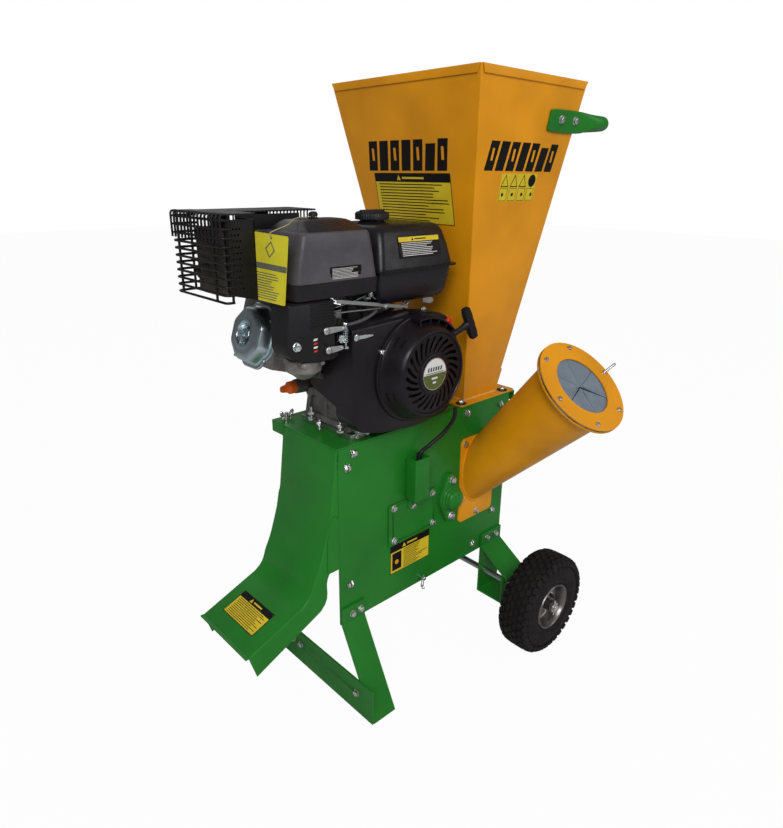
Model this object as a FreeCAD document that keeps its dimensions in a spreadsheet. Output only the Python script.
import FreeCAD, Part
import math
import os
import Sketcher

# Petrol wood chipper and shredder, millimetres, +Z up.
# +X points to the wheels and the handle, -X to the discharge chute,
# -Y to the side with the recoil starter and the chipper tube.
# All places below are measured from the rotor's vertical plane (x),
# the middle of the hopper (y) and the ground (z). Every placed object is then
# shifted by origin_x and origin_y, so that the frame's origin is at the bottom
# centre of the machine's bounding box.

VECTOR = FreeCAD.Vector
DOC = FreeCAD.newDocument("wood_chipper")
SHEET = DOC.addObject("Spreadsheet::Sheet", "Sizes")
NODES = {}


class Dim:
    """A size known both as a number and as an expression over the sheet."""

    def __init__(self, value, text):
        self.value = float(value)
        self.text = text

    def joined(self, other, sign, result):
        return Dim(result, "(%s %s %s)" % (self.text, sign, text_of(other)))

    def __add__(self, other):
        return self.joined(other, "+", self.value + float(other))

    def __sub__(self, other):
        return self.joined(other, "-", self.value - float(other))

    def __mul__(self, other):
        return self.joined(other, "*", self.value * float(other))

    def __truediv__(self, other):
        return self.joined(other, "/", self.value / float(other))

    def __radd__(self, other):
        return Dim(other, repr(float(other))) + self

    def __rsub__(self, other):
        return Dim(other, repr(float(other))) - self

    def __rmul__(self, other):
        return self * other

    def __neg__(self):
        return Dim(-self.value, "(0 - %s)" % self.text)

    def __float__(self):
        return self.value


def text_of(size):
    return size.text if isinstance(size, Dim) else repr(float(size))


class Sizes:
    """The driving dimensions: each becomes an aliased cell of the sheet."""

    def __init__(self, table):
        for row, (alias, value) in enumerate(table.items(), start=1):
            SHEET.set("A%d" % row, alias)
            SHEET.set("B%d" % row, str(value))
            SHEET.setAlias("B%d" % row, alias)
            setattr(self, alias, Dim(value, "Sizes." + alias))


D = Sizes({
    # frame origin
    "origin_x": -85.528,
    "origin_y": -55.758,
    # chamber of folded and bolted sheet
    "wall": 4.0,
    "near_face": -115.0,
    "far_face": 100.0,
    "panel_front": -341.0,
    "panel_rear": 222.0,
    "panel_foot": 203.0,
    "deck_top": 632.0,
    "deck_front": -344.0,
    "deck_rear": 243.0,
    "deck_far": 118.0,
    "lip_drop": 27.0,
    # discharge chute
    "chute_far": 75.0,
    "chute_sheet": 3.0,
    # feet, wheels and axle
    "leg_width": 65.0,
    "leg_thick": 6.0,
    "leg_tab": 42.0,
    "leg_splay": 105.0,
    "crossbar_height": 90.0,
    "crossbar_thick": 5.0,
    "axle_x": 158.0,
    "axle_z": 130.3,
    "axle_radius": 8.0,
    "wheel_y": 308.0,
    "tyre_radius": 130.3,
    "tyre_width": 83.7,
    "rim_radius": 58.0,
    "hub_length": 76.0,
    "bracket_front": 140.0,
    "bracket_foot": 67.0,
    "bracket_reach": 84.0,
    # hopper
    "hopper_base_x0": 70.0,
    "hopper_base_x1": 190.0,
    "hopper_base_y": 92.0,
    "hopper_top_x0": -76.0,
    "hopper_top_x1": 277.0,
    "hopper_top_y": 217.0,
    "hopper_top": 1342.0,
    "hopper_sheet": 2.5,
    "hopper_flange": 4.0,
    "hem_height": 28.0,
    # handle tube on the hopper
    "handle_z": 1262.0,
    "handle_reach": 405.0,
    "handle_radius": 15.0,
    # chipper tube
    "tube_x": 108.0,
    "tube_z": 445.0,
    "tube_tilt": 47.4,
    "tube_foot_radius": 61.0,
    "tube_mouth_radius": 92.0,
    "tube_length": 392.0,
    "tube_sheet": 3.0,
    "ring_radius": 112.0,
    "ring_bore": 68.0,
    "ring_thick": 4.0,
    # rotor
    "rotor_z": 409.0,
    "shaft_radius": 12.5,
    "disc_radius": 178.0,
    "rotor_disc_radius": 112.0,
    "pin_circle": 88.0,
    "pin_radius": 7.0,
    "hammer_reach": 78.0,
    "hammer_width": 38.0,
    "hammer_thick": 6.0,
    "screen_radius": 186.0,
    "bolt_spacing": 99.0,
    "running_gap": 0.05,
    # belt drive
    "belt_y": 133.0,
    "belt_pitch": 20.0,
    "rotor_pulley": 67.5,
    "engine_pulley": 45.0,
    # engine
    "crank_x": -160.0,
    "crank_z": 776.0,
    "crank_radius": 12.7,
    "engine_seat": 644.0,
    "shroud_front": -205.0,
    "shroud_back": -94.0,
    "shroud_radius": 114.0,
    "grille_radius": 85.0,
    "cylinder_lean": 18.0,
    "cylinder_y": 20.0,
})


# ---------------------------------------------------------------- helpers

def bind(obj, prop, size):
    """Tie a property to the sheet, or give it a plain number."""
    obj.setExpression(prop, text_of(size))


def at(obj, x, y, z, turn=None):
    """Place an object in the machine's frame, with an optional turn: axis and degrees, or yaw, pitch, roll."""
    if turn:
        obj.Placement = FreeCAD.Placement(VECTOR(0, 0, 0), FreeCAD.Rotation(*turn))
    bind(obj, "Placement.Base.x", x - D.origin_x)
    bind(obj, "Placement.Base.y", y - D.origin_y)
    bind(obj, "Placement.Base.z", z)
    return obj


def box(name, xs, ys, zs):
    solid = DOC.addObject("Part::Box", name)
    bind(solid, "Length", xs[1] - xs[0])
    bind(solid, "Width", ys[1] - ys[0])
    bind(solid, "Height", zs[1] - zs[0])
    return at(solid, xs[0], ys[0], zs[0])


TURNS = {
    "X": (VECTOR(0, 1, 0), 90),
    "Y": (VECTOR(1, 0, 0), -90),
    "Z": (VECTOR(0, 0, 1), 0),
}


def rod(name, axis, start, length, radius):
    """A cylinder from the point start along +axis."""
    solid = DOC.addObject("Part::Cylinder", name)
    bind(solid, "Radius", radius)
    bind(solid, "Height", length)
    return at(solid, start[0], start[1], start[2], TURNS[axis])


def cone(name, axis, start, length, radius_start, radius_end):
    solid = DOC.addObject("Part::Cone", name)
    bind(solid, "Radius1", radius_start)
    bind(solid, "Radius2", radius_end)
    bind(solid, "Height", length)
    return at(solid, start[0], start[1], start[2], TURNS[axis])


def group(name, *solids):
    joined = DOC.addObject("Part::Compound", name)
    joined.Links = list(solids)
    return joined


def fuse(name, *solids):
    joined = DOC.addObject("Part::MultiFuse", name)
    joined.Shapes = list(solids)
    joined.Refine = True
    return joined


def cut(name, base, *tools):
    result = DOC.addObject("Part::Cut", name)
    result.Base = base
    result.Tool = tools[0] if len(tools) == 1 else group(name + "_tools", *tools)
    return result


def node(name, obj):
    """Register an object as a finished piece of the machine."""
    obj.Label = name
    NODES[name] = obj
    return obj


def feature(name, shape):
    """A piece whose shape is made with Part's own functions, in the machine's frame."""
    piece = DOC.addObject("Part::Feature", name)
    piece.Shape = shape
    shift = FreeCAD.Placement(VECTOR(-float(D.origin_x), -float(D.origin_y), 0), FreeCAD.Rotation())
    piece.Placement = shift.multiply(shape.Placement)
    return piece


def origin_plane(body, role):
    for item in body.Origin.OriginFeatures:
        if item.Role == role:
            return item
    raise ValueError(role)


def pin_point(sketch, geometry, position, point):
    for kind, size in (("DistanceX", point[0]), ("DistanceY", point[1])):
        number = sketch.addConstraint(Sketcher.Constraint(kind, -1, 1, geometry, position, float(size)))
        if isinstance(size, Dim):
            sketch.setExpression("Constraints[%d]" % number, size.text)


def outline_sketch(body, name, role, outline, holes=()):
    """A closed polygon and round holes, every corner tied to the sheet."""
    sketch = body.newObject("Sketcher::SketchObject", name)
    sketch.AttachmentSupport = [(origin_plane(body, role), "")]
    sketch.MapMode = "FlatFace"
    corners = [VECTOR(float(u), float(v), 0) for u, v in outline]
    for index, corner in enumerate(corners):
        sketch.addGeometry(Part.LineSegment(corner, corners[(index + 1) % len(corners)]), False)
    for index in range(len(corners)):
        following = (index + 1) % len(corners)
        sketch.addConstraint(Sketcher.Constraint("Coincident", index, 2, following, 1))
        pin_point(sketch, index, 1, outline[index])
    for u, v, radius in holes:
        circle = sketch.addGeometry(
            Part.Circle(VECTOR(float(u), float(v), 0), VECTOR(0, 0, 1), float(radius)), False
        )
        pin_point(sketch, circle, 3, (u, v))
        number = sketch.addConstraint(Sketcher.Constraint("Radius", circle, float(radius)))
        if isinstance(radius, Dim):
            sketch.setExpression("Constraints[%d]" % number, radius.text)
    return sketch


def plate(name, role, offset, thickness, outline, holes=()):
    """A padded outline. XZ outlines grow along +Y, YZ along +X and XY along +Z."""
    body = DOC.addObject("PartDesign::Body", name)
    sketch = outline_sketch(body, name + "_outline", role, outline, holes)
    pad = body.newObject("PartDesign::Pad", name + "_pad")
    pad.Profile = sketch
    bind(pad, "Length", thickness)
    pad.Reversed = role == "XZ_Plane"
    place = {"XZ_Plane": (0.0, offset, 0.0), "YZ_Plane": (offset, 0.0, 0.0), "XY_Plane": (0.0, 0.0, offset)}
    return at(body, *place[role])


def turned(name, centre, outline):
    """A revolved piece about a line along Y. The outline is (y, radius)."""
    body = DOC.addObject("PartDesign::Body", name)
    sketch = outline_sketch(body, name + "_section", "YZ_Plane", outline)
    revolution = body.newObject("PartDesign::Revolution", name + "_turn")
    revolution.Profile = sketch
    revolution.ReferenceAxis = (origin_plane(body, "Y_Axis"), [""])
    revolution.Angle = 360
    return at(body, centre[0], 0.0, centre[1])


def polar(centre, radius, degrees):
    """A point (x, z) on a circle about a centre, for angles fixed by the design."""
    angle = math.radians(degrees)
    return centre[0] + radius * round(math.cos(angle), 6), centre[1] + radius * round(math.sin(angle), 6)


def bolt(name, axis, seat, grip, side=-1, size=4.0):
    """A hex bolt on its washer at the seat, head towards side along the axis, nut past the grip."""
    index = "XYZ".index(axis)

    def move(solid, level):
        point = list(seat)
        point[index] = seat[index] + level
        return at(solid, *point, TURNS[axis])

    def hexagon(part, height):
        solid = DOC.addObject("Part::Prism", name + part)
        solid.Polygon = 6
        solid.Circumradius = size * 1.85
        solid.Height = height
        return solid

    def round_bar(part, radius, height):
        solid = DOC.addObject("Part::Cylinder", name + part)
        solid.Radius = radius
        solid.Height = height
        return solid

    washer_thick = 1.5
    head_thick = size * 1.3
    nut_thick = size * 1.2
    shank_length = float(grip) + size * 1.5
    outward = side > 0
    parts = [
        move(round_bar("_washer", size * 2.1, washer_thick), 0.0 if outward else -washer_thick),
        move(hexagon("_head", head_thick), washer_thick if outward else -washer_thick - head_thick),
        move(round_bar("_shank", size, shank_length), -shank_length if outward else 0.0),
        move(hexagon("_nut", nut_thick), -grip - nut_thick if outward else grip),
    ]
    return fuse(name, *parts)


def drill(name, axis, seats, start, length, radius):
    """Clearance holes along an axis through the seats."""
    index = "XYZ".index(axis)
    holes = []
    for number, seat in enumerate(seats):
        point = list(seat)
        point[index] = start
        holes.append(rod("%s_%d" % (name, number), axis, point, length, radius))
    return holes


def tapered(name, low, high):
    """A block lofted between two rectangles (x0, x1, y0, y1, z)."""
    body = DOC.addObject("PartDesign::Body", name)
    sections = []
    for part, (x0, x1, y0, y1, z) in (("low", low), ("high", high)):
        sketch = outline_sketch(body, name + "_" + part, "XY_Plane", [(x0, y0), (x1, y0), (x1, y1), (x0, y1)])
        bind(sketch, "AttachmentOffset.Base.z", z)
        sections.append(sketch)
    loft = body.newObject("PartDesign::AdditiveLoft", name + "_loft")
    loft.Profile = sections[0]
    loft.Sections = [sections[1]]
    loft.Ruled = True
    return at(body, 0.0, 0.0, 0.0)


def spoke(name, centre, degrees, y, start, length, radius):
    """A round bar that points away from a centre (x, z) at an angle above +X."""
    solid = DOC.addObject("Part::Cylinder", name)
    bind(solid, "Radius", radius)
    bind(solid, "Height", length)
    x, z = polar(centre, start, degrees)
    return at(solid, x, y, z, (VECTOR(0, 1, 0), 90 - degrees))


def inset(outline, depth):
    """The corners of a convex outline moved inward, each edge by the same depth."""
    points = [(float(u), float(v)) for u, v in outline]
    area = sum(a[0] * b[1] - b[0] * a[1] for a, b in zip(points, points[1:] + points[:1]))
    turn = 1.0 if area > 0 else -1.0
    lines = []
    for a, b in zip(points, points[1:] + points[:1]):
        length = math.hypot(b[0] - a[0], b[1] - a[1])
        normal = (-(b[1] - a[1]) / length * turn, (b[0] - a[0]) / length * turn)
        lines.append((normal, normal[0] * a[0] + normal[1] * a[1] + depth))
    corners = []
    for (n1, c1), (n2, c2) in zip(lines[-1:] + lines[:-1], lines):
        det = n1[0] * n2[1] - n1[1] * n2[0]
        corners.append(((c1 * n2[1] - c2 * n1[1]) / det, (n1[0] * c2 - n2[0] * c1) / det))
    return corners


# ---------------------------------------------------------------- chamber

# bolt seats: (x, z) on the side faces, (x, y) on the deck, (x, y, z) on the cross bar
PANEL_BOLTS = [(-300.0, 612.0), (-318.0, 584.0), (-314.0, 299.0), (105.0, 231.0), (181.0, 306.0),
               (57.0, 613.0), (186.0, 607.0), (208.0, 580.0)]
LEG_BOLTS = [(-312.0, 224.0), (-288.0, 226.0)]
BRACKET_BOLTS = [(163.0, 228.0), (199.0, 228.0)]
INSPECTION_BOLTS = [(-186.0, 443.0), (-184.0, 359.0), (-57.0, 359.0), (-61.0, 440.0)]
SWITCH_BOLTS = [(-126.0, 430.0)]
TUBE_BOLTS = [(53.0, 534.0), (160.0, 534.0), (108.0, 331.0)]
BEARING_BOLTS = [(0.0, D.rotor_z - D.bolt_spacing / 2), (0.0, D.rotor_z + D.bolt_spacing / 2)]
HOPPER_BOLTS = [(50.0, -101.0), (208.0, -101.0), (50.0, 108.5), (208.0, 108.5)]
ENGINE_BOLTS = [(-269.5, -64.5), (-74.5, -64.5), (-269.5, 40.5), (-74.5, 40.5)]
HANDLE_BOLTS = [(202.0, 1266.0), (254.0, 1266.0)]
CROSSBAR_BOLTS = [(0.0, D.near_face - 58, 55.0), (0.0, 41.0, 57.0), (0.0, 72.0, 57.0),
                  (0.0, D.far_face + 58, 55.0)]

TILT_COS = math.cos(math.radians(float(D.tube_tilt)))
TILT_SIN = math.sin(math.radians(float(D.tube_tilt)))
TUBE_TURN = (VECTOR(1, 0, 0), 90 - float(D.tube_tilt))


def on_tube(obj, along, across=0.0, up=0.0):
    """Place an object on the chipper tube's axis, at a distance from the near panel."""
    return at(obj, D.tube_x + across, D.near_face - along * TILT_COS + up * TILT_SIN,
              D.tube_z + along * TILT_SIN + up * TILT_COS, TUBE_TURN)


def tube_cone(name, start, end, shrink):
    slope = (D.tube_mouth_radius - D.tube_foot_radius) / float(D.tube_length)
    solid = DOC.addObject("Part::Cone", name)
    bind(solid, "Radius1", D.tube_foot_radius + slope * start - shrink)
    bind(solid, "Radius2", D.tube_foot_radius + slope * end - shrink)
    bind(solid, "Height", end - start)
    return on_tube(solid, start)


def tube_disc(name, start, length, radius, across=0.0, up=0.0):
    solid = DOC.addObject("Part::Cylinder", name)
    bind(solid, "Radius", radius)
    bind(solid, "Height", length)
    return on_tube(solid, start, across, up)


def seats_y(places, level):
    return [(x, level, z) for x, z in places]


def panels():
    top = D.deck_top - D.wall
    clearance = 4.3
    near = plate(
        "near_sheet", "XZ_Plane", D.near_face, D.wall,
        [(D.panel_front, D.panel_foot), (D.panel_rear, D.panel_foot), (D.panel_rear, top), (D.panel_front, top)],
        [(0.0, D.rotor_z, 30.0)],
    )
    start = D.near_face - 1
    depth = D.wall + 2
    m8 = PANEL_BOLTS + LEG_BOLTS + BRACKET_BOLTS + INSPECTION_BOLTS + SWITCH_BOLTS + TUBE_BOLTS
    tools = drill("near_m8", "Y", seats_y(m8, start), start, depth, clearance)
    tools += drill("near_m10", "Y", seats_y(BEARING_BOLTS, start), start, depth, 5.3)
    tools.append(rod("near_rod_hole", "Y", (-86.0, start, 214.0), depth, 5.3))
    tools.append(box("near_window", (-172.0, -72.0), (start, start + depth), (376.0, 426.0)))
    tools.append(tube_cone("near_throat", -60.0, 60.0, D.tube_sheet))
    node("near_panel", cut("near_panel", near, *tools))

    front = -325.0
    far_start = D.far_face - D.wall
    far = plate(
        "far_sheet", "XZ_Plane", far_start, D.wall,
        [(front, D.panel_foot), (D.panel_rear, D.panel_foot), (D.panel_rear, top), (front, top)],
        [(0.0, D.rotor_z, 30.0)],
    )
    start = far_start - 1
    tools = drill("far_m8", "Y", seats_y(LEG_BOLTS + BRACKET_BOLTS, start), start, depth, clearance)
    tools += drill("far_m10", "Y", seats_y(BEARING_BOLTS, start), start, depth, 5.3)
    tools.append(rod("far_rod_hole", "Y", (-86.0, start, 214.0), depth, 5.3))
    node("far_panel", cut("far_panel", far, *tools))

    rear = box("rear_wall", (D.panel_rear - D.wall, D.panel_rear), (D.near_face + D.wall, D.far_face - D.wall),
               (D.panel_foot, top))
    node("rear_wall", rear)


def deck():
    base = D.deck_top - D.wall
    sheet = plate(
        "deck_sheet", "XY_Plane", base, D.wall,
        [(D.deck_front, D.near_face), (D.deck_rear, D.near_face), (D.deck_rear, D.deck_far),
         (D.deck_front, D.deck_far)],
    )
    lip = box("deck_lip", (D.deck_front, D.deck_front + D.wall), (D.chute_far + 1, D.deck_far),
              (D.deck_top - D.lip_drop, D.deck_top))
    rear_lip = box("deck_rear_lip", (D.deck_rear - D.wall, D.deck_rear), (D.near_face, D.deck_far),
                   (D.deck_top - D.lip_drop, D.deck_top))
    throat = box("deck_throat", (D.hopper_base_x0 + 3, D.hopper_base_x1 - 3),
                 (3 - D.hopper_base_y, D.hopper_base_y - 3), (base - 1, D.deck_top + 1))
    holes = drill("deck_hopper_hole", "Z", [(x, y, 0.0) for x, y in HOPPER_BOLTS], base - 1, D.wall + 2, 4.3)
    holes += drill("deck_engine_hole", "Z", [(x, y, 0.0) for x, y in ENGINE_BOLTS], base - 1, D.wall + 2, 5.3)
    node("deck", cut("deck", fuse("deck_folded", sheet, lip, rear_lip), throat, *holes))


def discharge_chute():
    """The chamber's front wall runs down into a hood that throws the chips forward."""
    top = D.deck_top - D.wall
    hood = [(D.deck_front, top), (-361.0, 491.0), (-366.0, 479.0), (-387.0, 397.0), (-408.0, 348.0),
            (-440.0, 299.0), (-574.0, 246.0), (-581.0, 247.0)]
    drop = D.chute_sheet * 0.87
    under = [(u + drop, v - drop) for u, v in hood]
    under[0] = (hood[0][0] + drop, top)
    under[-1] = (-579.5, 244.2)
    sheet = plate("chute_sheet_metal", "XZ_Plane", D.near_face, D.chute_far - D.near_face, hood + under[::-1])
    lower = [(-558.0, 192.0), (-488.0, 224.0), (-405.0, 263.0), (-385.0, 284.0), (-374.0, 332.0), (-373.0, 351.0)]
    near_side = plate("chute_near_side", "XZ_Plane", D.near_face, D.chute_sheet,
                      hood[:-1] + lower + [(-343.0, 351.0), (-343.0, top)])
    far_side = plate("chute_far_side", "XZ_Plane", D.chute_far - D.chute_sheet, D.chute_sheet,
                     hood[:-1] + lower + [(-325.5, 351.0), (-325.5, top)])
    closing = box("chute_closing", (-328.5, -325.5), (D.chute_far - 1, D.far_face - D.wall), (351.0, top))
    node("discharge_chute", fuse("discharge_chute", sheet, near_side, far_side, closing))


def sizing_screen():
    centre = (0.0, D.rotor_z)
    inner_y = D.near_face + D.wall
    span = D.far_face - D.near_face - D.wall * 2
    outer = rod("screen_outer", "Y", (0.0, inner_y, D.rotor_z), span, D.screen_radius + 4)
    outer.Angle = 148
    inner = rod("screen_inner", "Y", (0.0, inner_y - 1, D.rotor_z), span + 2, D.screen_radius)
    holes = []
    for step in range(9):
        for row in range(5):
            holes.append(spoke("screen_hole_%d_%d" % (step, row), centre, -14.0 - 15 * step, -87.0 + 40 * row,
                               D.screen_radius - 5, 14.0, 11.0))
    node("sizing_screen", cut("sizing_screen", outer, inner, *holes))


# ---------------------------------------------------------------- stand

def front_legs():
    """A bent strip on each side: tab on the panel, then splayed to the ground."""
    for name, face, side in (("front_leg_near", D.near_face, -1), ("front_leg_far", D.far_face, 1)):
        tab_top = D.panel_foot + D.leg_tab
        thick = D.leg_thick * side
        foot = face + D.leg_splay * side
        strip = plate(
            name + "_strip", "YZ_Plane", D.panel_front + 1, D.leg_width,
            [(face, tab_top), (face, D.panel_foot), (foot, 0.0), (foot + thick * 1.12, 0.0),
             (face + thick, D.panel_foot + 1.4), (face + thick, tab_top)],
        )
        outer = face + 82.0 * side
        inner = face + 48.0 * side
        tab = box(name + "_tab", (D.panel_front + 1, D.panel_front + 5),
                  (outer, inner) if side < 0 else (inner, outer), (32.0, 78.0))
        heads = drill(name + "_hole", "Y", seats_y(LEG_BOLTS, 0.0), face - 8, 16.0, 4.3)
        heads += drill(name + "_bar_hole", "X", [(0.0, face + 58.0 * side, 55.0)], D.panel_front, 6.0, 4.3)
        node(name, cut(name, fuse(name + "_welded", strip, tab), *heads))


def crossbar():
    rear = D.panel_front + 1
    bar = box("crossbar_sheet", (rear - D.crossbar_thick, rear),
              (D.near_face - D.leg_splay - D.leg_thick, D.far_face + D.leg_splay + D.leg_thick),
              (0.0, D.crossbar_height))
    holes = drill("crossbar_hole", "X", CROSSBAR_BOLTS, rear - D.crossbar_thick - 1, D.crossbar_thick + 2, 4.3)
    node("crossbar", cut("crossbar", bar, *holes))


def rear_brackets():
    """Each side: a strip down the panel, folded out under the axle and stayed by a sloped strip."""
    both = []
    for name, face, side in (("bracket_near", D.near_face, -1), ("bracket_far", D.far_face, 1)):
        strap = 6.0 * side
        reach = D.bracket_reach * side
        tab_top = D.panel_foot + D.leg_tab
        base = D.bracket_foot
        length = D.panel_rear - D.bracket_front
        profile = [(face, tab_top), (face, base), (face + reach, base), (face + reach, base + 82),
                   (face + reach - strap, base + 82), (face + reach - strap, base + 6),
                   (face + strap, base + 6), (face + strap, tab_top)]
        strip = plate(name + "_strip", "YZ_Plane", D.bracket_front, length, profile)
        stay = plate(name + "_stay", "YZ_Plane", D.bracket_front, length,
                     [(face + strap, D.panel_foot), (face + strap, D.panel_foot + 6),
                      (face + reach * 1.16, 150.0), (face + reach * 1.16, 144.0)])
        holes = drill(name + "_hole", "Y", seats_y(BRACKET_BOLTS, 0.0), face - 8, 16.0, 4.3)
        holes.append(rod(name + "_axle_hole", "Y", (D.axle_x, face - 120, D.axle_z), 240.0, D.axle_radius))
        both.append(cut(name, fuse(name + "_welded", strip, stay), *holes))
    node("rear_brackets", group("rear_brackets", *both))


def axle_and_wheels():
    collar_gap = 0.5
    half_hub = D.hub_length / 2
    end = D.wheel_y + half_hub + 10
    bar = rod("axle_bar", "Y", (D.axle_x, -end, D.axle_z), end * 2, D.axle_radius)
    inner = D.wheel_y - half_hub - collar_gap
    collars = [
        rod("axle_collar_near", "Y", (D.axle_x, -inner, D.axle_z), 8.0, 12.5),
        rod("axle_collar_far", "Y", (D.axle_x, inner - 8, D.axle_z), 8.0, 12.5),
    ]
    outer = D.wheel_y + half_hub + collar_gap
    bore = rod("axle_cap_bore", "Y", (D.axle_x, -end - 1, D.axle_z), end * 2 + 2, D.axle_radius)
    caps = [
        cut("axle_cap_near", rod("axle_cap_near_disc", "Y", (D.axle_x, -outer - 5, D.axle_z), 5.0, 13.0), bore),
        cut("axle_cap_far", rod("axle_cap_far_disc", "Y", (D.axle_x, outer, D.axle_z), 5.0, 13.0), bore),
    ]
    node("axle", group("axle", fuse("axle_collared", bar, *collars), *caps))

    seat = D.rim_radius - 4.5
    bore_radius = D.axle_radius + D.running_gap
    for name, centre in (("near", -D.wheel_y), ("far", D.wheel_y)):
        rim = [(-half_hub, bore_radius), (half_hub, bore_radius), (half_hub, 15.0), (3.0, 15.0), (3.0, seat - 3.5),
               (34.0, seat - 3.5), (38.0, seat + 6.5), (35.0, seat + 6.5), (31.0, seat), (-31.0, seat),
               (-35.0, seat + 6.5), (-38.0, seat + 6.5), (-34.0, seat - 3.5), (-2.0, seat - 3.5), (-2.0, 15.0),
               (-half_hub, 15.0)]
        node("rim_" + name, turned("rim_" + name, (D.axle_x, D.axle_z), [(u + centre, v) for u, v in rim]))
        side = D.tyre_width / 2
        tread = D.tyre_radius
        outside = [(31.0, seat), (35.0, seat + 6.6), (side - 2, seat + 14), (side, tread - 45), (side, tread - 24),
                   (side - 5, tread - 8), (side - 17, tread - 2), (10.0, tread)]
        inside = [(22.0, seat), (26.0, seat + 9), (side - 8, tread - 45), (side - 8, tread - 25),
                  (side - 13, tread - 14), (side - 22, tread - 9), (8.0, tread - 8)]
        loop = outside + [(-u, v) for u, v in outside[::-1]] + [(-u, v) for u, v in inside] + inside[::-1]
        node("tyre_" + name, turned("tyre_" + name, (D.axle_x, D.axle_z), [(u + centre, v) for u, v in loop]))


# ---------------------------------------------------------------- hopper and handle

def hopper():
    seat = D.deck_top + D.hopper_flange
    sheet = D.hopper_sheet
    low = (D.hopper_base_x0, D.hopper_base_x1, -D.hopper_base_y, D.hopper_base_y, seat)
    high = (D.hopper_top_x0, D.hopper_top_x1, -D.hopper_top_y, D.hopper_top_y, D.hopper_top)
    outer = tapered("hopper_outer", low, high)
    inner = tapered("hopper_inner",
                    (low[0] + sheet, low[1] - sheet, low[2] + sheet, low[3] - sheet, seat),
                    (high[0] + sheet, high[1] - sheet, high[2] + sheet, high[3] - sheet, D.hopper_top))
    flange = box("hopper_foot", (37.0, D.deck_rear), (D.near_face + 1, D.deck_far - 1), (D.deck_top, seat))
    throat = box("hopper_throat", (low[0] + sheet, low[1] - sheet), (low[2] + sheet, low[3] - sheet),
                 (D.deck_top - 1, seat + 1))
    share = D.hem_height / (D.hopper_top - seat)
    hem_low = [high[i] + (low[i] - high[i]) * share for i in range(4)]
    hem = tapered("hopper_hem", (hem_low[0] - 2, hem_low[1] + 2, hem_low[2] - 2, hem_low[3] + 2,
                                 D.hopper_top - D.hem_height),
                  (high[0] - 2, high[1] + 2, high[2] - 2, high[3] + 2, D.hopper_top))
    holes = drill("hopper_hole", "Z", [(x, y, 0.0) for x, y in HOPPER_BOLTS], D.deck_top - 1, 6.0, 4.3)
    lean = math.degrees(math.atan2(float(D.hopper_top_y - D.hopper_base_y), float(D.hopper_top - seat)))
    for side in (-1, 1):
        for number, (x, z) in enumerate(HANDLE_BOLTS):
            y = hopper_face(z)
            hole = DOC.addObject("Part::Cylinder", "handle_hole_%d_%d" % (side + 1, number))
            hole.Radius = 4.3
            hole.Height = 40.0
            at(hole, x, y * side - 20 * side * math.cos(math.radians(lean)),
               z + 20 * math.sin(math.radians(lean)), (VECTOR(1, 0, 0), -90 * side - lean * side))
            holes.append(hole)
    shell = fuse("hopper_welded", outer, hem, flange)
    node("hopper", cut("hopper", shell, inner, throat, *holes))


def hopper_face(height):
    """How far the hopper's side wall stands from its middle at a height."""
    rise = D.hopper_top - (D.deck_top + D.hopper_flange)
    slope = (D.hopper_top_y - D.hopper_base_y) / float(rise)
    return D.hopper_base_y + slope * (height - float(D.deck_top + D.hopper_flange))


def handle():
    """A U of tube whose ends are flattened to straps bolted on the hopper's sides."""
    lean = math.atan2(float(D.hopper_top_y - D.hopper_base_y), float(D.hopper_top - D.deck_top - D.hopper_flange))
    half = 23.0
    thick = 5.0
    ends = []
    for side in (-1, 1):
        strap = Part.makeBox(142.0, thick, half * 2, VECTOR(163.0, 0, -half))
        for x, z in HANDLE_BOLTS:
            strap = strap.cut(Part.makeCylinder(4.3, 20.0, VECTOR(x, -8, z - float(D.handle_z)), VECTOR(0, 1, 0)))
        if side < 0:
            strap.translate(VECTOR(0, -thick, 0))
        strap.rotate(VECTOR(0, 0, 0), VECTOR(1, 0, 0), -side * math.degrees(lean))
        strap.translate(VECTOR(0, side * (float(hopper_face(float(D.handle_z))) + 0.02), float(D.handle_z)))
        ends.append(strap)
    radius = float(D.handle_radius)
    outer = float(hopper_face(float(D.handle_z))) + radius - 2.0
    reach = float(D.handle_reach) - radius
    bend = 45.0
    level = float(D.handle_z) + 4.0
    start = 292.0
    corner = bend * (1 - math.sqrt(0.5))
    points = [
        VECTOR(start, -outer, level), VECTOR(reach - bend, -outer, level),
        VECTOR(reach - corner, -outer + corner, level), VECTOR(reach, -outer + bend, level),
        VECTOR(reach, outer - bend, level), VECTOR(reach - corner, outer - corner, level),
        VECTOR(reach - bend, outer, level), VECTOR(start, outer, level),
    ]
    path = Part.Wire([
        Part.makeLine(points[0], points[1]),
        Part.Arc(points[1], points[2], points[3]).toShape(),
        Part.makeLine(points[3], points[4]),
        Part.Arc(points[4], points[5], points[6]).toShape(),
        Part.makeLine(points[6], points[7]),
    ])
    rings = []
    for size in (radius, radius - 2.5):
        ring = Part.Wire([Part.makeCircle(size, points[0], VECTOR(1, 0, 0))])
        rings.append(path.makePipeShell([ring], True, False))
    tube = rings[0].cut(rings[1])
    node("handle", feature("handle", tube.fuse(ends).removeSplitter()))


# ---------------------------------------------------------------- chipper tube

def ring_places():
    places = []
    for number in range(6):
        angle = math.radians(15 + 60 * number)
        places.append((98.0 * math.cos(angle), 98.0 * math.sin(angle)))
    return places


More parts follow.
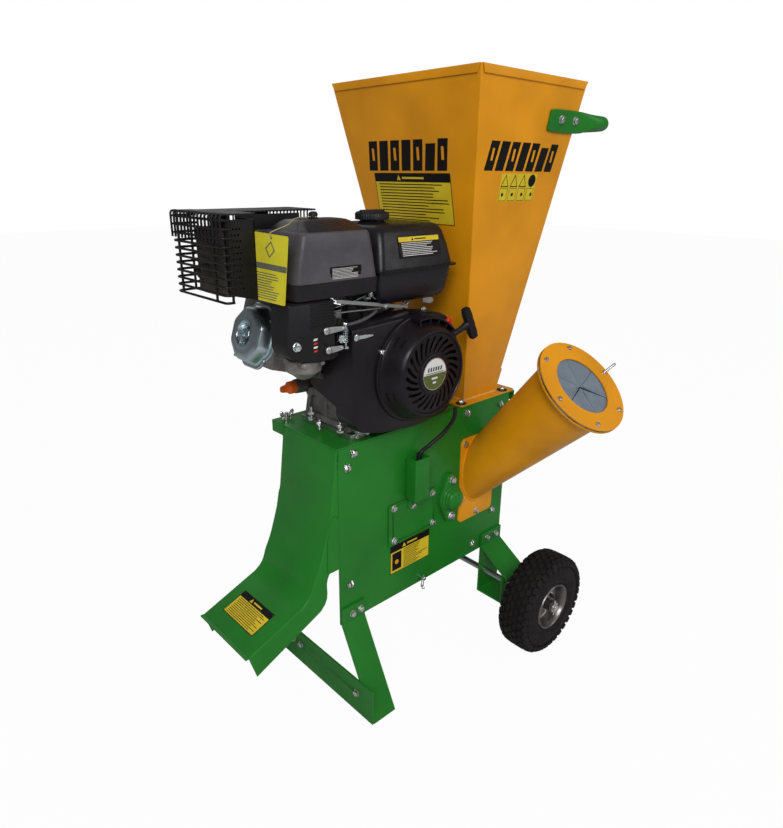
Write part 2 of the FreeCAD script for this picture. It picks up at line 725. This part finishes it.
def chipper_tube():
    length = float(D.tube_length)
    behind = -100.0
    outer = tube_cone("tube_outer", behind, length, 0.0)
    inner = tube_cone("tube_inner", behind - 5, length + 5, D.tube_sheet)
    foot = box("tube_foot", (40.0, 172.0), (D.near_face - 4, D.near_face), (318.0, 548.0))
    inside = box("tube_inside", (D.tube_x - 140, D.tube_x + 140), (D.near_face, D.near_face + 260), (220.0, 640.0))
    flange = tube_disc("tube_flange", length - 4, 4.0, D.ring_radius)
    bore = tube_disc("tube_flange_bore", length - 6, 8.0, D.tube_mouth_radius - D.tube_sheet)
    holes = [tube_disc("tube_screw_hole_%d" % number, length - 8, 20.0, 3.2, across, up)
             for number, (across, up) in enumerate(ring_places())]
    holes += drill("tube_bolt_hole", "Y", seats_y(TUBE_BOLTS, 0.0), D.near_face - 6, 8.0, 4.3)
    welded = fuse("tube_welded", outer, foot, flange)
    node("chipper_tube", cut("chipper_tube", welded, inner, inside, bore, *holes))

    sheet = 3.0
    curtain = tube_disc("curtain_sheet", length, sheet, D.ring_radius - 1)
    slits = []
    for number in range(6):
        slit = DOC.addObject("Part::Box", "curtain_slit_%d" % number)
        slit.Length = 62.0
        slit.Width = 1.2
        slit.Height = sheet + 2
        on_tube(slit, length - 1)
        slit.Placement = FreeCAD.Placement(slit.Placement.Base, FreeCAD.Rotation(*TUBE_TURN).multiply(
            FreeCAD.Rotation(VECTOR(0, 0, 1), 60 * number + 20)))
        slits.append(slit)
    screw_holes = [tube_disc("curtain_hole_%d" % number, length - 1, sheet + 2, 3.2, across, up)
                   for number, (across, up) in enumerate(ring_places())]
    node("chipper_curtain", cut("chipper_curtain", curtain, *(slits + screw_holes)))

    face = length + sheet
    ring = tube_disc("ring_disc", face, D.ring_thick, D.ring_radius)
    ring_bore = tube_disc("ring_bore", face - 1, D.ring_thick + 2, D.ring_bore)
    ring_holes = [tube_disc("ring_hole_%d" % number, face - 1, D.ring_thick + 2, 3.2, across, up)
                  for number, (across, up) in enumerate(ring_places())]
    node("chipper_ring", cut("chipper_ring", ring, ring_bore, *ring_holes))

    screws = []
    for number, (across, up) in enumerate(ring_places()):
        tall = 26.0 if number == 1 else 3.5
        name = "ring_screw_%d" % number
        shank = tube_disc(name + "_shank", length - 9, 16.0 + float(D.ring_thick), 3.0, across, up)
        head = tube_disc(name + "_head", face + D.ring_thick, tall, 5.0 if tall < 10 else 3.4, across, up)
        nut = tube_disc(name + "_nut", length - 8, 4.0, 5.2, across, up)
        screws.append(fuse(name, shank, head, nut))
    foot_bolts = [bolt("tube_bolt_%d" % number, "Y", (x, D.near_face - 4, z), D.wall + 4)
                  for number, (x, z) in enumerate(TUBE_BOLTS)]
    node("chipper_bolts", group("chipper_bolts", *(screws + foot_bolts)))


# ---------------------------------------------------------------- panel fittings

def panel_fittings():
    face = D.near_face
    cover = box("inspection_sheet", (-200.0, -45.0), (face - 4, face), (346.0, 452.0))
    holes = drill("inspection_hole", "Y", seats_y(INSPECTION_BOLTS + SWITCH_BOLTS, 0.0), face - 6, 8.0, 4.3)
    node("inspection_plate", cut("inspection_plate", cover, *holes))

    outer = box("switch_outer", (-148.0, -102.0), (face - 35, face), (456.0, 559.0))
    inner = box("switch_inner", (-145.0, -105.0), (face - 32, face - 3), (459.0, 560.0))
    tab = box("switch_tab", (-142.0, -110.0), (face - 3, face), (452.5, 458.0))
    node("switch_box", cut("switch_box", fuse("switch_welded", outer, tab), inner))

    start = VECTOR(-52.0, -172.0, 668.0)
    middle = [VECTOR(-34.0, -166.0, 640.0), VECTOR(-46.0, -150.0, 603.0), VECTOR(-88.0, -137.0, 580.0),
              VECTOR(-120.0, -132.0, 560.0)]
    curve = Part.BSplineCurve()
    curve.interpolate([start] + middle + [VECTOR(-125.0, -132.0, 500.0)])
    path = Part.Wire([curve.toShape()])
    ring = Part.Wire([Part.makeCircle(4.5, start, curve.tangent(curve.FirstParameter)[0])])
    node("switch_cable", feature("switch_cable", path.makePipeShell([ring], True, False)))


def frame_bolts():
    near = D.near_face
    far = D.far_face
    rear = D.panel_front + 1
    items = []
    for number, (x, z) in enumerate(PANEL_BOLTS):
        items.append(bolt("panel_bolt_%d" % number, "Y", (x, near, z), D.wall))
    for number, (x, z) in enumerate(INSPECTION_BOLTS + SWITCH_BOLTS):
        items.append(bolt("plate_bolt_%d" % number, "Y", (x, near - 4, z), D.wall + 4))
    for number, (x, z) in enumerate(LEG_BOLTS + BRACKET_BOLTS):
        items.append(bolt("near_foot_bolt_%d" % number, "Y", (x, near - 6, z), D.wall + 6))
        items.append(bolt("far_foot_bolt_%d" % number, "Y", (x, far + 6, z), D.wall + 6, 1))
    for number, (x, y, z) in enumerate(CROSSBAR_BOLTS):
        grip = D.crossbar_thick + (4 if number in (0, 3) else 0)
        items.append(bolt("crossbar_bolt_%d" % number, "X", (rear - D.crossbar_thick, y, z), grip))
    for number, (x, z) in enumerate(BEARING_BOLTS):
        items.append(bolt("near_bearing_bolt_%d" % number, "Y", (x, near - 13, z), D.wall + 13, -1, 5.0))
        items.append(bolt("far_bearing_bolt_%d" % number, "Y", (x, far + 13, z), D.wall + 13, 1, 5.0))
    for number, (x, y) in enumerate(ENGINE_BOLTS):
        grip = D.engine_seat + 12 - (D.deck_top - D.wall)
        items.append(bolt("engine_bolt_%d" % number, "Z", (x, y, D.engine_seat + 12), grip, 1, 5.0))
    screen_rod = rod("screen_rod_bar", "Y", (-86.0, near - 14, 214.0), far - near + 28, 5.0)
    clip_near = rod("screen_rod_clip", "X", (-98.0, near - 9, 214.0), 24.0, 1.5)
    clip_far = rod("screen_rod_clip_far", "X", (-98.0, far + 9, 214.0), 24.0, 1.5)
    items.append(fuse("screen_rod", screen_rod, clip_near, clip_far))
    node("frame_bolts", group("frame_bolts", *items))


def hopper_bolts():
    items = []
    for number, (x, y) in enumerate(HOPPER_BOLTS):
        items.append(bolt("hopper_bolt_%d" % number, "Z", (x, y, D.deck_top + D.hopper_flange),
                          D.hopper_flange + D.wall, 1))
    lean = math.degrees(math.atan2(float(D.hopper_top_y - D.hopper_base_y),
                                   float(D.hopper_top - D.deck_top - D.hopper_flange)))
    for side in (-1, 1):
        for number, (x, z) in enumerate(HANDLE_BOLTS):
            grip = 5.0 + float(D.hopper_sheet)
            washer = Part.makeCylinder(8.4, 1.5)
            head = Part.makeCylinder(7.0, 5.2, VECTOR(0, 0, 1.5))
            shank = Part.makeCylinder(4.0, grip + 9.0, VECTOR(0, 0, -grip - 9.0))
            nut = Part.makeCylinder(7.0, 5.0, VECTOR(0, 0, -grip - 5.05))
            piece = washer.fuse([head, shank, nut])
            piece.rotate(VECTOR(0, 0, 0), VECTOR(1, 0, 0), -90 * side - lean * side)
            out = 5.05
            piece.translate(VECTOR(x, side * (float(hopper_face(z)) + out * math.cos(math.radians(lean))),
                                   z - out * math.sin(math.radians(lean))))
            items.append(feature("handle_bolt_%d_%d" % (side + 1, number), piece))
    node("hopper_bolts", group("hopper_bolts", *items))


# ---------------------------------------------------------------- rotor

ROTOR = (0.0, D.rotor_z)
PIN_ANGLES = (90.0, 210.0, 330.0)


def rotor():
    step = 20.0
    shaft = turned("rotor_shaft", ROTOR, [(-148.0, 0.0), (167.0, 0.0), (167.0, D.shaft_radius),
                                          (66.0, D.shaft_radius), (66.0, step), (-94.0, step),
                                          (-94.0, D.shaft_radius), (-148.0, D.shaft_radius)])
    node("rotor_shaft", shaft)

    discs = []
    for number, y in enumerate((-54.0, -4.0, 46.0)):
        disc = turned("rotor_disc_%d" % number, ROTOR,
                      [(y, step), (y + 8, step), (y + 8, D.rotor_disc_radius), (y, D.rotor_disc_radius)])
        holes = []
        for angle in PIN_ANGLES:
            x, z = polar(ROTOR, D.pin_circle, angle)
            holes.append(rod("disc_hole_%d_%d" % (number, angle), "Y", (x, y - 1, z), 10.0, D.pin_radius))
        discs.append(cut("rotor_disc_cut_%d" % number, disc, *holes))
    node("rotor_discs", group("rotor_discs", *discs))

    pins = []
    for angle in PIN_ANGLES:
        x, z = polar(ROTOR, D.pin_circle, angle)
        bar = rod("hammer_pin_%d" % angle, "Y", (x, -54.0, z), 108.0, D.pin_radius)
        near_head = rod("hammer_pin_head_%d" % angle, "Y", (x, -58.0, z), 4.0, D.pin_radius + 3)
        far_head = rod("hammer_pin_end_%d" % angle, "Y", (x, 54.0, z), 4.0, D.pin_radius + 3)
        pins.append(fuse("hammer_pin_set_%d" % angle, bar, near_head, far_head))
    node("hammer_pins", group("hammer_pins", *pins))

    for letter, angle in zip("abc", PIN_ANGLES):
        x, z = polar(ROTOR, D.pin_circle, angle)
        tails = []
        for number, y in enumerate((-42.0, -22.0, 8.0, 28.0)):
            blade = DOC.addObject("Part::Box", "hammer_%s_%d_blade" % (letter, number))
            bind(blade, "Length", D.hammer_width)
            bind(blade, "Width", D.hammer_thick)
            bind(blade, "Height", D.hammer_reach)
            half = D.hammer_width / 2
            turn = math.radians(90 - angle)
            at(blade, x - half * math.cos(turn), y, z + half * math.sin(turn), (VECTOR(0, 1, 0), 90 - angle))
            tail = rod("hammer_%s_%d_tail" % (letter, number), "Y", (x, y, z), D.hammer_thick, half)
            bore = rod("hammer_%s_%d_bore" % (letter, number), "Y", (x, y - 1, z), D.hammer_thick + 2,
                       D.pin_radius + D.running_gap)
            tails.append(cut("hammer_%s_%d" % (letter, number), fuse("hammer_%s_%d_bar" % (letter, number),
                                                                    blade, tail), bore))
        node("hammers_" + letter, group("hammers_" + letter, *tails))

    disc = turned("chipper_disc_blank", ROTOR,
                  [(-94.0, step), (-66.0, step), (-66.0, 36.0), (-84.0, 36.0), (-84.0, D.disc_radius),
                   (-94.0, D.disc_radius)])
    slots = [
        box("disc_slot_a", (52.0, 165.0), (-96.0, -82.0), (D.rotor_z + 14, D.rotor_z + 30)),
        box("disc_slot_b", (-165.0, -52.0), (-96.0, -82.0), (D.rotor_z - 30, D.rotor_z - 14)),
    ]
    node("chipper_disc", cut("chipper_disc", disc, *slots))

    knives = []
    for name, xs, low, high in (("knife_a", (52.0, 165.0), -26, 12), ("knife_b", (-165.0, -52.0), -12, 26)):
        blank = box(name + "_blank", xs, (-100.0, -94.0), (D.rotor_z + low, D.rotor_z + high))
        holes = drill(name + "_hole", "Y", [(xs[0] + 26, 0.0, D.rotor_z + (low + high) / 2),
                                            (xs[1] - 26, 0.0, D.rotor_z + (low + high) / 2)], -101.0, 8.0, 4.0)
        knives.append(cut(name, blank, *holes))
    node("chipper_knives", group("chipper_knives", *knives))

    anvil = box("anvil", (60.0, 160.0), (D.near_face + D.wall, -101.5), (342.0, 357.0))
    node("anvil", anvil)


def rotor_bearings():
    """Two flange bearing units; the near one is closed by a domed cap."""
    units = []
    for name, face, side in (("bearing_near", D.near_face, -1), ("bearing_far", D.far_face, 1)):
        half = D.bolt_spacing / 2
        diamond = [(-15.0, D.rotor_z - half - 15), (15.0, D.rotor_z - half - 15), (34.0, D.rotor_z - 12),
                   (34.0, D.rotor_z + 12), (15.0, D.rotor_z + half + 15), (-15.0, D.rotor_z + half + 15),
                   (-34.0, D.rotor_z + 12), (-34.0, D.rotor_z - 12)]
        low = face - 13 if side < 0 else face
        flange = plate(name + "_flange", "XZ_Plane", low, 13.0, diamond)
        boss = rod(name + "_boss", "Y", (0.0, face - 18 if side < 0 else face, D.rotor_z), 18.0, 33.0)
        bore = rod(name + "_bore", "Y", (0.0, face - 20, D.rotor_z), 40.0, D.shaft_radius + D.running_gap)
        holes = drill(name + "_hole", "Y", seats_y(BEARING_BOLTS, 0.0), face - 20, 40.0, 5.3)
        units.append(cut(name, fuse(name + "_cast", flange, boss), bore, *holes))
    cap_start = D.near_face - 18
    cap = turned("bearing_cap", ROTOR, [(cap_start, 22.0), (cap_start, 29.0), (cap_start - 10, 28.0),
                                        (cap_start - 17, 20.0), (cap_start - 19, 8.0), (cap_start - 19, 0.0),
                                        (cap_start - 17, 0.0), (cap_start - 15, 18.0), (cap_start - 9, 22.0)])
    node("rotor_bearings", group("rotor_bearings", *(units + [cap])))


# ---------------------------------------------------------------- belt drive

def pulley(name, centre, pitch, bore):
    """Two grooves; the belt's middle runs on the pitch radius."""
    y = D.belt_y
    rim = pitch + 4
    root = pitch - 4.5
    half = 6.5
    second = y + D.belt_pitch
    return turned(name, centre, [
        (y - 10, bore), (second + 10, bore), (second + 10, rim), (second + half, rim), (second + half, root),
        (second - half, root), (second - half, rim), (y + half, rim), (y + half, root), (y - half, root),
        (y - half, rim), (y - 10, rim),
    ])


def belts():
    """Each belt is a band round both pulleys: two arcs and their tangents."""
    top = (float(D.crank_x), float(D.crank_z), float(D.engine_pulley) - 4.2)
    low = (0.0, float(D.rotor_z), float(D.rotor_pulley) - 4.2)
    span = math.hypot(low[0] - top[0], low[1] - top[1])
    along = math.atan2(low[1] - top[1], low[0] - top[0])
    made = []
    for number in range(2):
        y = float(D.belt_y) + number * float(D.belt_pitch) - 6.0
        loops = []
        for extra in (8.0, 0.0):
            r1 = top[2] + extra
            r2 = low[2] + extra
            lean = math.acos((r1 - r2) / span)
            solids = [Part.makeCylinder(r1, 12.0, VECTOR(top[0], y, top[1]), VECTOR(0, 1, 0)),
                      Part.makeCylinder(r2, 12.0, VECTOR(low[0], y, low[1]), VECTOR(0, 1, 0))]
            corners = []
            for turn in (lean, -lean):
                angle = along + turn
                corners.append([VECTOR(c[0] + r * math.cos(angle), y, c[1] + r * math.sin(angle))
                                for c, r in ((top, r1), (low, r2))])
            loop = [corners[0][0], corners[0][1], corners[1][1], corners[1][0], corners[0][0]]
            solids.append(Part.Face(Part.makePolygon(loop)).extrude(VECTOR(0, 12.0, 0)))
            loops.append(solids[0].fuse(solids[1:]))
        made.append(feature("belt_%d" % number, loops[0].cut(loops[1])))
    node("drive_belts", group("drive_belts", *made))


GUARD_OUTLINE = [(-247.0, 738.0), (-251.0, 800.0), (-215.0, 858.0), (-150.0, 872.0), (-90.0, 845.0),
                 (-73.0, 814.0), (87.0, 447.0), (80.0, 370.0), (35.0, 325.0), (-30.0, 322.0), (-87.0, 371.0)]


def belt_drive():
    node("rotor_pulley", pulley("rotor_pulley", ROTOR, D.rotor_pulley, D.shaft_radius))
    node("engine_pulley", pulley("engine_pulley", (D.crank_x, D.crank_z), D.engine_pulley, D.crank_radius))
    belts()
    guard_depth = 56.0
    outer = plate("guard_outer", "XZ_Plane", D.deck_far, guard_depth, GUARD_OUTLINE)
    inner = plate("guard_inner", "XZ_Plane", D.deck_far - 1, guard_depth - 1, inset(GUARD_OUTLINE, 2.0))
    shell = cut("guard_shell", outer, inner)
    posts = [rod("guard_post_%d" % number, "Y", (x, D.far_face, z), D.deck_far - D.far_face + guard_depth - 1, 6.0)
             for number, (x, z) in enumerate(((76.0, 392.0), (-82.0, 396.0), (64.0, 480.0)))]
    node("belt_guard", fuse("belt_guard", shell, *posts))


# ---------------------------------------------------------------- engine

LEAN = float(D.cylinder_lean)
LEAN_COS = math.cos(math.radians(LEAN))
LEAN_SIN = math.sin(math.radians(LEAN))
CYLINDER_TURN = (VECTOR(0, 1, 0), LEAN - 90)
CRANK = (D.crank_x, D.crank_z)


def on_cylinder(obj, along, across=0.0, side=0.0):
    """Place an object on the cylinder's axis: across is upward, side is along Y."""
    return at(obj, D.crank_x - along * LEAN_COS + across * LEAN_SIN, D.cylinder_y + side,
              D.crank_z + along * LEAN_SIN + across * LEAN_COS, CYLINDER_TURN)


def cylinder_block(name, along, length, wide, tall):
    block = DOC.addObject("Part::Box", name)
    bind(block, "Length", tall)
    bind(block, "Width", wide)
    bind(block, "Height", length)
    return on_cylinder(block, along, -tall / 2, -wide / 2)


def cylinder_round(name, along, length, radius):
    solid = DOC.addObject("Part::Cylinder", name)
    bind(solid, "Radius", radius)
    bind(solid, "Height", length)
    return on_cylinder(solid, along)


def engine_block():
    seat = D.engine_seat
    x = D.crank_x
    z = D.crank_z
    flange = box("block_flange", (-292.0, -52.0), (-84.0, 60.0), (seat, seat + 12))
    case = box("block_case", (-252.0, -90.0), (-92.0, 88.0), (seat + 12, 800.0))
    drum = rod("block_drum", "Y", (x, -92.0, z), 180.0, 88.0)
    neck = cylinder_round("block_neck", 60.0, 68.0, 56.0)
    saddle = box("block_saddle", (-200.0, -110.0), (-30.0, 34.0), (850.0, 904.0))
    oil_neck = rod("block_oil_neck", "X", (-318.0, 50.0, 722.0), 70.0, 11.0)
    cavity = rod("block_cavity", "Y", (x, -80.0, z), 156.0, 74.0)
    bore = rod("block_bore", "Y", (x, -100.0, z), 200.0, D.crank_radius + D.running_gap)
    bore_up = cylinder_round("block_cylinder_bore", 60.0, 70.0, 44.0)
    holes = drill("block_hole", "Z", [(u, v, 0.0) for u, v in ENGINE_BOLTS], seat - 1, 14.0, 5.3)
    welded = fuse("block_cast", flange, case, drum, neck, saddle, oil_neck)
    node("engine_block", cut("engine_block", welded, cavity, bore, bore_up, *holes))

    rails = []
    for number, start in enumerate((-292.0, -96.0)):
        bar = box("rail_bar_%d" % number, (start, start + 44), (-98.0, 76.0), (D.deck_top, seat))
        places = [(u, v, 0.0) for u, v in ENGINE_BOLTS if start < u < start + 44]
        rails.append(cut("rail_%d" % number, bar,
                         *drill("rail_hole_%d" % number, "Z", places, D.deck_top - 1, 14.0, 5.3)))
    node("engine_rails", group("engine_rails", *rails))


def engine_cylinder():
    parts = [cylinder_round("cylinder_barrel", 128.0, 110.0, 54.0)]
    for number in range(10):
        parts.append(cylinder_block("cylinder_fin_%d" % number, 134.0 + 10 * number, 3.5, 150.0, 126.0))
    parts.append(cylinder_block("cylinder_head", 236.0, 42.0, 138.0, 122.0))
    bore = cylinder_round("cylinder_bore", 127.0, 104.0, 44.0)
    port = rod("cylinder_intake", "Y", (-396.0, -64.0, 848.0), 24.0, 15.0)
    node("engine_cylinder", cut("engine_cylinder", fuse("cylinder_cast", *(parts + [port])), bore))

    cover = DOC.addObject("Part::Prism", "rocker_skirt")
    cover.Polygon = 8
    cover.Circumradius = 64.0
    cover.Height = 34.0
    on_cylinder(cover, 278.0)
    cap = DOC.addObject("Part::Cone", "rocker_dome")
    cap.Radius1 = 58.0
    cap.Radius2 = 46.0
    cap.Height = 12.0
    on_cylinder(cap, 312.0)
    recess = cylinder_round("rocker_recess", 318.0, 10.0, 20.0)
    node("rocker_cover", cut("rocker_cover", fuse("rocker_pressed", cover, cap), recess))


def crank_train():
    """Crankshaft with its webs and pin, flywheel with fan blades."""
    y0 = -176.0
    shaft = rod("crank_bar", "Y", (D.crank_x, y0, D.crank_z), 167.0 - y0, D.crank_radius)
    webs = []
    for number, y in enumerate((-4.0, 32.0)):
        webs.append(rod("crank_web_%d" % number, "Y", (D.crank_x, y, D.crank_z), 12.0, 58.0))
    pin = rod("crank_pin", "Y", (D.crank_x, 8.0, D.crank_z + 32), 24.0, 18.0)
    node("crankshaft", fuse("crankshaft", shaft, pin, *webs))

    disc = turned("flywheel_disc", CRANK, [(-134.0, D.crank_radius), (-104.0, D.crank_radius), (-104.0, 104.0),
                                           (-112.0, 104.0), (-122.0, 96.0), (-122.0, 40.0), (-134.0, 34.0)])
    blades = []
    for number in range(16):
        blade = DOC.addObject("Part::Box", "fan_blade_%d" % number)
        blade.Length = 30.0
        blade.Width = 34.0
        blade.Height = 3.5
        angle = 22.5 * number
        x, z = polar(CRANK, 66.0, angle)
        at(blade, x, -154.0, z, (VECTOR(0, 1, 0), -angle))
        blades.append(blade)
    node("flywheel", fuse("flywheel", disc, *blades))


def fan_shroud():
    back = D.shroud_back
    front = D.shroud_front
    x = D.crank_x
    z = D.crank_z
    skin = 3.0
    body_front = -150.0
    drum_front = -168.0
    outer = [
        box("shroud_body", (-333.0, -40.0), (body_front, back), (662.0, 892.0)),
        rod("shroud_drum", "Y", (x, drum_front, z), back - drum_front, D.shroud_radius),
        cone("shroud_nose", "Y", (x, front, z), drum_front - front, D.grille_radius + 2, D.shroud_radius - 4),
        rod("shroud_badge", "Y", (x, front - 4, z), 8.0, 34.0),
        box("shroud_switch_seat", (-86.0, -50.0), (body_front - 3, back), (843.0, 879.0)),
    ]
    inner = [
        box("shroud_body_inside", (-330.0, -43.0), (body_front + skin, back + 1), (665.0, 889.0)),
        rod("shroud_drum_inside", "Y", (x, drum_front + skin, z), back - drum_front, D.shroud_radius - skin),
        cone("shroud_nose_inside", "Y", (x, front + skin, z), drum_front - front, D.grille_radius - 1,
             D.shroud_radius - 4 - skin),
    ]
    slots = []
    for number in range(24):
        slot = DOC.addObject("Part::Box", "grille_slot_%d" % number)
        slot.Length = 34.0
        slot.Width = 12.0
        slot.Height = 6.5
        angle = 15.0 * number
        u, w = polar(CRANK, 43.0, angle)
        at(slot, u, front - 2, w, (VECTOR(0, 1, 0), -angle - 14))
        slots.append(slot)
    node("fan_shroud", cut("fan_shroud", fuse("shroud_pressed", *outer), fuse("shroud_hollow", *inner), *slots))

    turn = (-12.0, 90.0 - 26.0, 0.0)
    root = VECTOR(-48.0, -166.0, 840.0)
    corner = root + FreeCAD.Rotation(*turn).multVec(VECTOR(-36.0, -9.0, 18.0))
    stem = DOC.addObject("Part::Cylinder", "grip_stem")
    stem.Radius = 5.0
    stem.Height = 22.0
    at(stem, *root, turn)
    bar = DOC.addObject("Part::Box", "grip_bar")
    bar.Length = 72.0
    bar.Width = 18.0
    bar.Height = 15.0
    at(bar, *corner, turn)
    node("starter_grip", fuse("starter_grip", stem, bar))

    knob = rod("engine_switch", "Y", (-68.0, -165.0, 861.0), 11.9, 9.0)
    node("engine_switch", knob)


def fuel_tank():
    seam = 974.0
    low = (-238.0, -40.0, -130.0, 52.0, 910.0)
    middle = (-247.0, -24.0, -138.0, 60.0, seam)
    high = (-232.0, -52.0, -114.0, 44.0, 1062.0)
    wall = 3.0
    halves = [tapered("tank_lower", low, middle), tapered("tank_upper", middle, high)]
    rim = box("tank_rim", (-253.0, -18.0), (-144.0, 66.0), (seam - 2, seam + 2))
    neck = rod("tank_neck", "Z", (-180.0, -38.0, 1058.0), 18.0, 24.0)
    inside = [
        tapered("tank_lower_inside", (low[0] + wall, low[1] - wall, low[2] + wall, low[3] - wall, low[4] + wall),
                (middle[0] + wall, middle[1] - wall, middle[2] + wall, middle[3] - wall, seam)),
        tapered("tank_upper_inside", (middle[0] + wall, middle[1] - wall, middle[2] + wall, middle[3] - wall, seam),
                (high[0] + wall, high[1] - wall, high[2] + wall, high[3] - wall, high[4] - wall)),
        rod("tank_neck_inside", "Z", (-180.0, -38.0, 1050.0), 30.0, 21.0),
    ]
    node("fuel_tank", cut("fuel_tank", fuse("tank_pressed", rim, neck, *halves), fuse("tank_hollow", *inside)))

    cap = rod("cap_disc", "Z", (-180.0, -38.0, 1062.1), 22.0, 35.0)
    hollow = rod("cap_inside", "Z", (-180.0, -38.0, 1060.0), 18.0, 24.1)
    grip = box("cap_grip", (-215.0, -145.0), (-45.0, -31.0), (1080.0, 1086.0))
    node("fuel_cap", cut("fuel_cap", fuse("cap_moulded", cap, grip), hollow))


def air_cleaner():
    low = (-465.0, -262.0, -152.0, -15.0, 944.0)
    fold = (-452.0, -268.0, -149.0, -18.0, 1057.0)
    high = (-418.0, -280.0, -117.0, -40.0, 1077.0)
    wall = 3.0
    hood = fuse("cleaner_hood", tapered("cleaner_sides", low, fold), tapered("cleaner_top", fold, high))

    def within(section, rise):
        x0, x1, y0, y1, z = section
        return (x0 + wall, x1 - wall, y0 + wall, y1 - wall, z + rise)

    inside = fuse("cleaner_inside", tapered("cleaner_sides_inside", within(low, -0.01), within(fold, 0.0)),
                  tapered("cleaner_top_inside", within(fold, 0.0), within(high, -wall)))
    cover = box("choke_cover", (-462.0, -366.0), (-150.0, -98.0), (838.0, 943.0))
    cover_inside = box("choke_cover_inside", (-459.0, -369.0), (-147.0, -97.0), (835.0, 940.0))
    node("air_cleaner", group("air_cleaner", cut("cleaner_shell", hood, inside),
                              cut("choke_shell", cover, cover_inside)))
    stem = rod("knob_stem", "Z", (-350.0, -70.0, 1077.05), 11.0, 7.5)
    wing = box("knob_wing", (-361.0, -339.0), (-72.5, -67.5), (1081.0, 1090.0))
    node("air_cleaner_knob", fuse("air_cleaner_knob", stem, wing))

    body = box("carburettor_body", (-440.0, -385.0), (-136.0, -100.0), (824.0, 837.9))
    neck = box("carburettor_neck", (-440.0, -385.0), (-97.0, -86.0), (824.0, 851.0))
    bowl = rod("carburettor_bowl", "Z", (-412.0, -110.0, 793.0), 32.0, 30.0)
    pipe = rod("carburettor_pipe", "Y", (-396.0, -88.0, 842.0), 24.0, 9.0)
    node("carburettor", fuse("carburettor", body, neck, bowl, pipe))

    for name, x, z, reach in (("choke_lever", -386.0, 853.0, 34.0), ("throttle_lever", -390.0, 889.0, 42.0)):
        hub = rod(name + "_hub", "Y", (x, -158.0, z), 7.9, 7.0)
        arm = box(name + "_arm", (x, x + reach), (-157.0, -153.0), (z - 4, z + 4))
        node(name, fuse(name, hub, arm))

    cap = rod("dipstick_cap", "X", (-346.0, 50.0, 722.0), 27.9, 14.0)
    tab = box("dipstick_tab", (-362.0, -346.0), (48.0, 52.0), (712.0, 732.0))
    node("dipstick", fuse("dipstick", cap, tab))


def muffler():
    can = box("muffler_can", (-508.0, -345.0), (-10.0, 95.0), (942.0, 1060.0))
    pipe = rod("muffler_pipe", "Z", (-392.0, 45.0, 924.0), 19.0, 15.0)
    tail = rod("muffler_tail", "X", (-525.0, 40.0, 985.0), 18.0, 12.0)
    node("muffler", fuse("muffler", can, pipe, tail))

    near = -88.0
    far = 94.0
    left = -548.0
    depth = 30.0
    wire = 2.6
    parts = [
        box("guard_top_front", (left, -475.0), (near, far), (1087.0, 1090.0)),
        box("guard_top_rear", (-476.0, -300.0), (-5.0, 80.0), (1087.0, 1090.0)),
        box("guard_stay", (-405.0, -380.0), (30.0, 60.0), (1060.0, 1088.0)),
    ]
    for number in range(9):
        z = 951.0 + 16 * number
        parts.append(rod("guard_wire_%d" % number, "Y", (left + 3, near + 3, z), far - near - 6, wire))
        for end, y in (("near", near + 3), ("far", far - 3)):
            parts.append(rod("guard_return_%d_%s" % (number, end), "X", (left + 3, y, z), depth, wire))
    for number, y in enumerate((near + 3, (near + far) / 2, far - 3)):
        parts.append(rod("guard_post_front_%d" % number, "Z", (left + 3, y, 948.0), 140.0, 3.0))
    for number, y in enumerate((near + 3, far - 3)):
        parts.append(rod("guard_post_rear_%d" % number, "Z", (left + 3 + depth, y, 948.0), 140.0, 3.0))
    node("muffler_guard", fuse("muffler_guard", *parts))


# ---------------------------------------------------------------- build and export

def check(objects):
    for obj in objects:
        if "Invalid" in obj.State or "Error" in obj.State:
            raise RuntimeError("%s: %s" % (obj.Name, obj.State))
    for name, obj in NODES.items():
        if obj.Shape.isNull() or not obj.Shape.isValid():
            raise RuntimeError("bad shape: " + name)


def main():
    for build in (panels, deck, discharge_chute, sizing_screen, front_legs, crossbar, rear_brackets,
                  axle_and_wheels, hopper, handle, chipper_tube, panel_fittings, frame_bolts, hopper_bolts,
                  rotor, rotor_bearings, belt_drive, engine_block, engine_cylinder, crank_train, fan_shroud,
                  fuel_tank, air_cleaner, muffler):
        build()
    DOC.recompute()
    check(DOC.Objects)
    os.makedirs("parts", exist_ok=True)
    for name, obj in NODES.items():
        obj.Shape.exportStep("parts/%s.step" % name)


main()
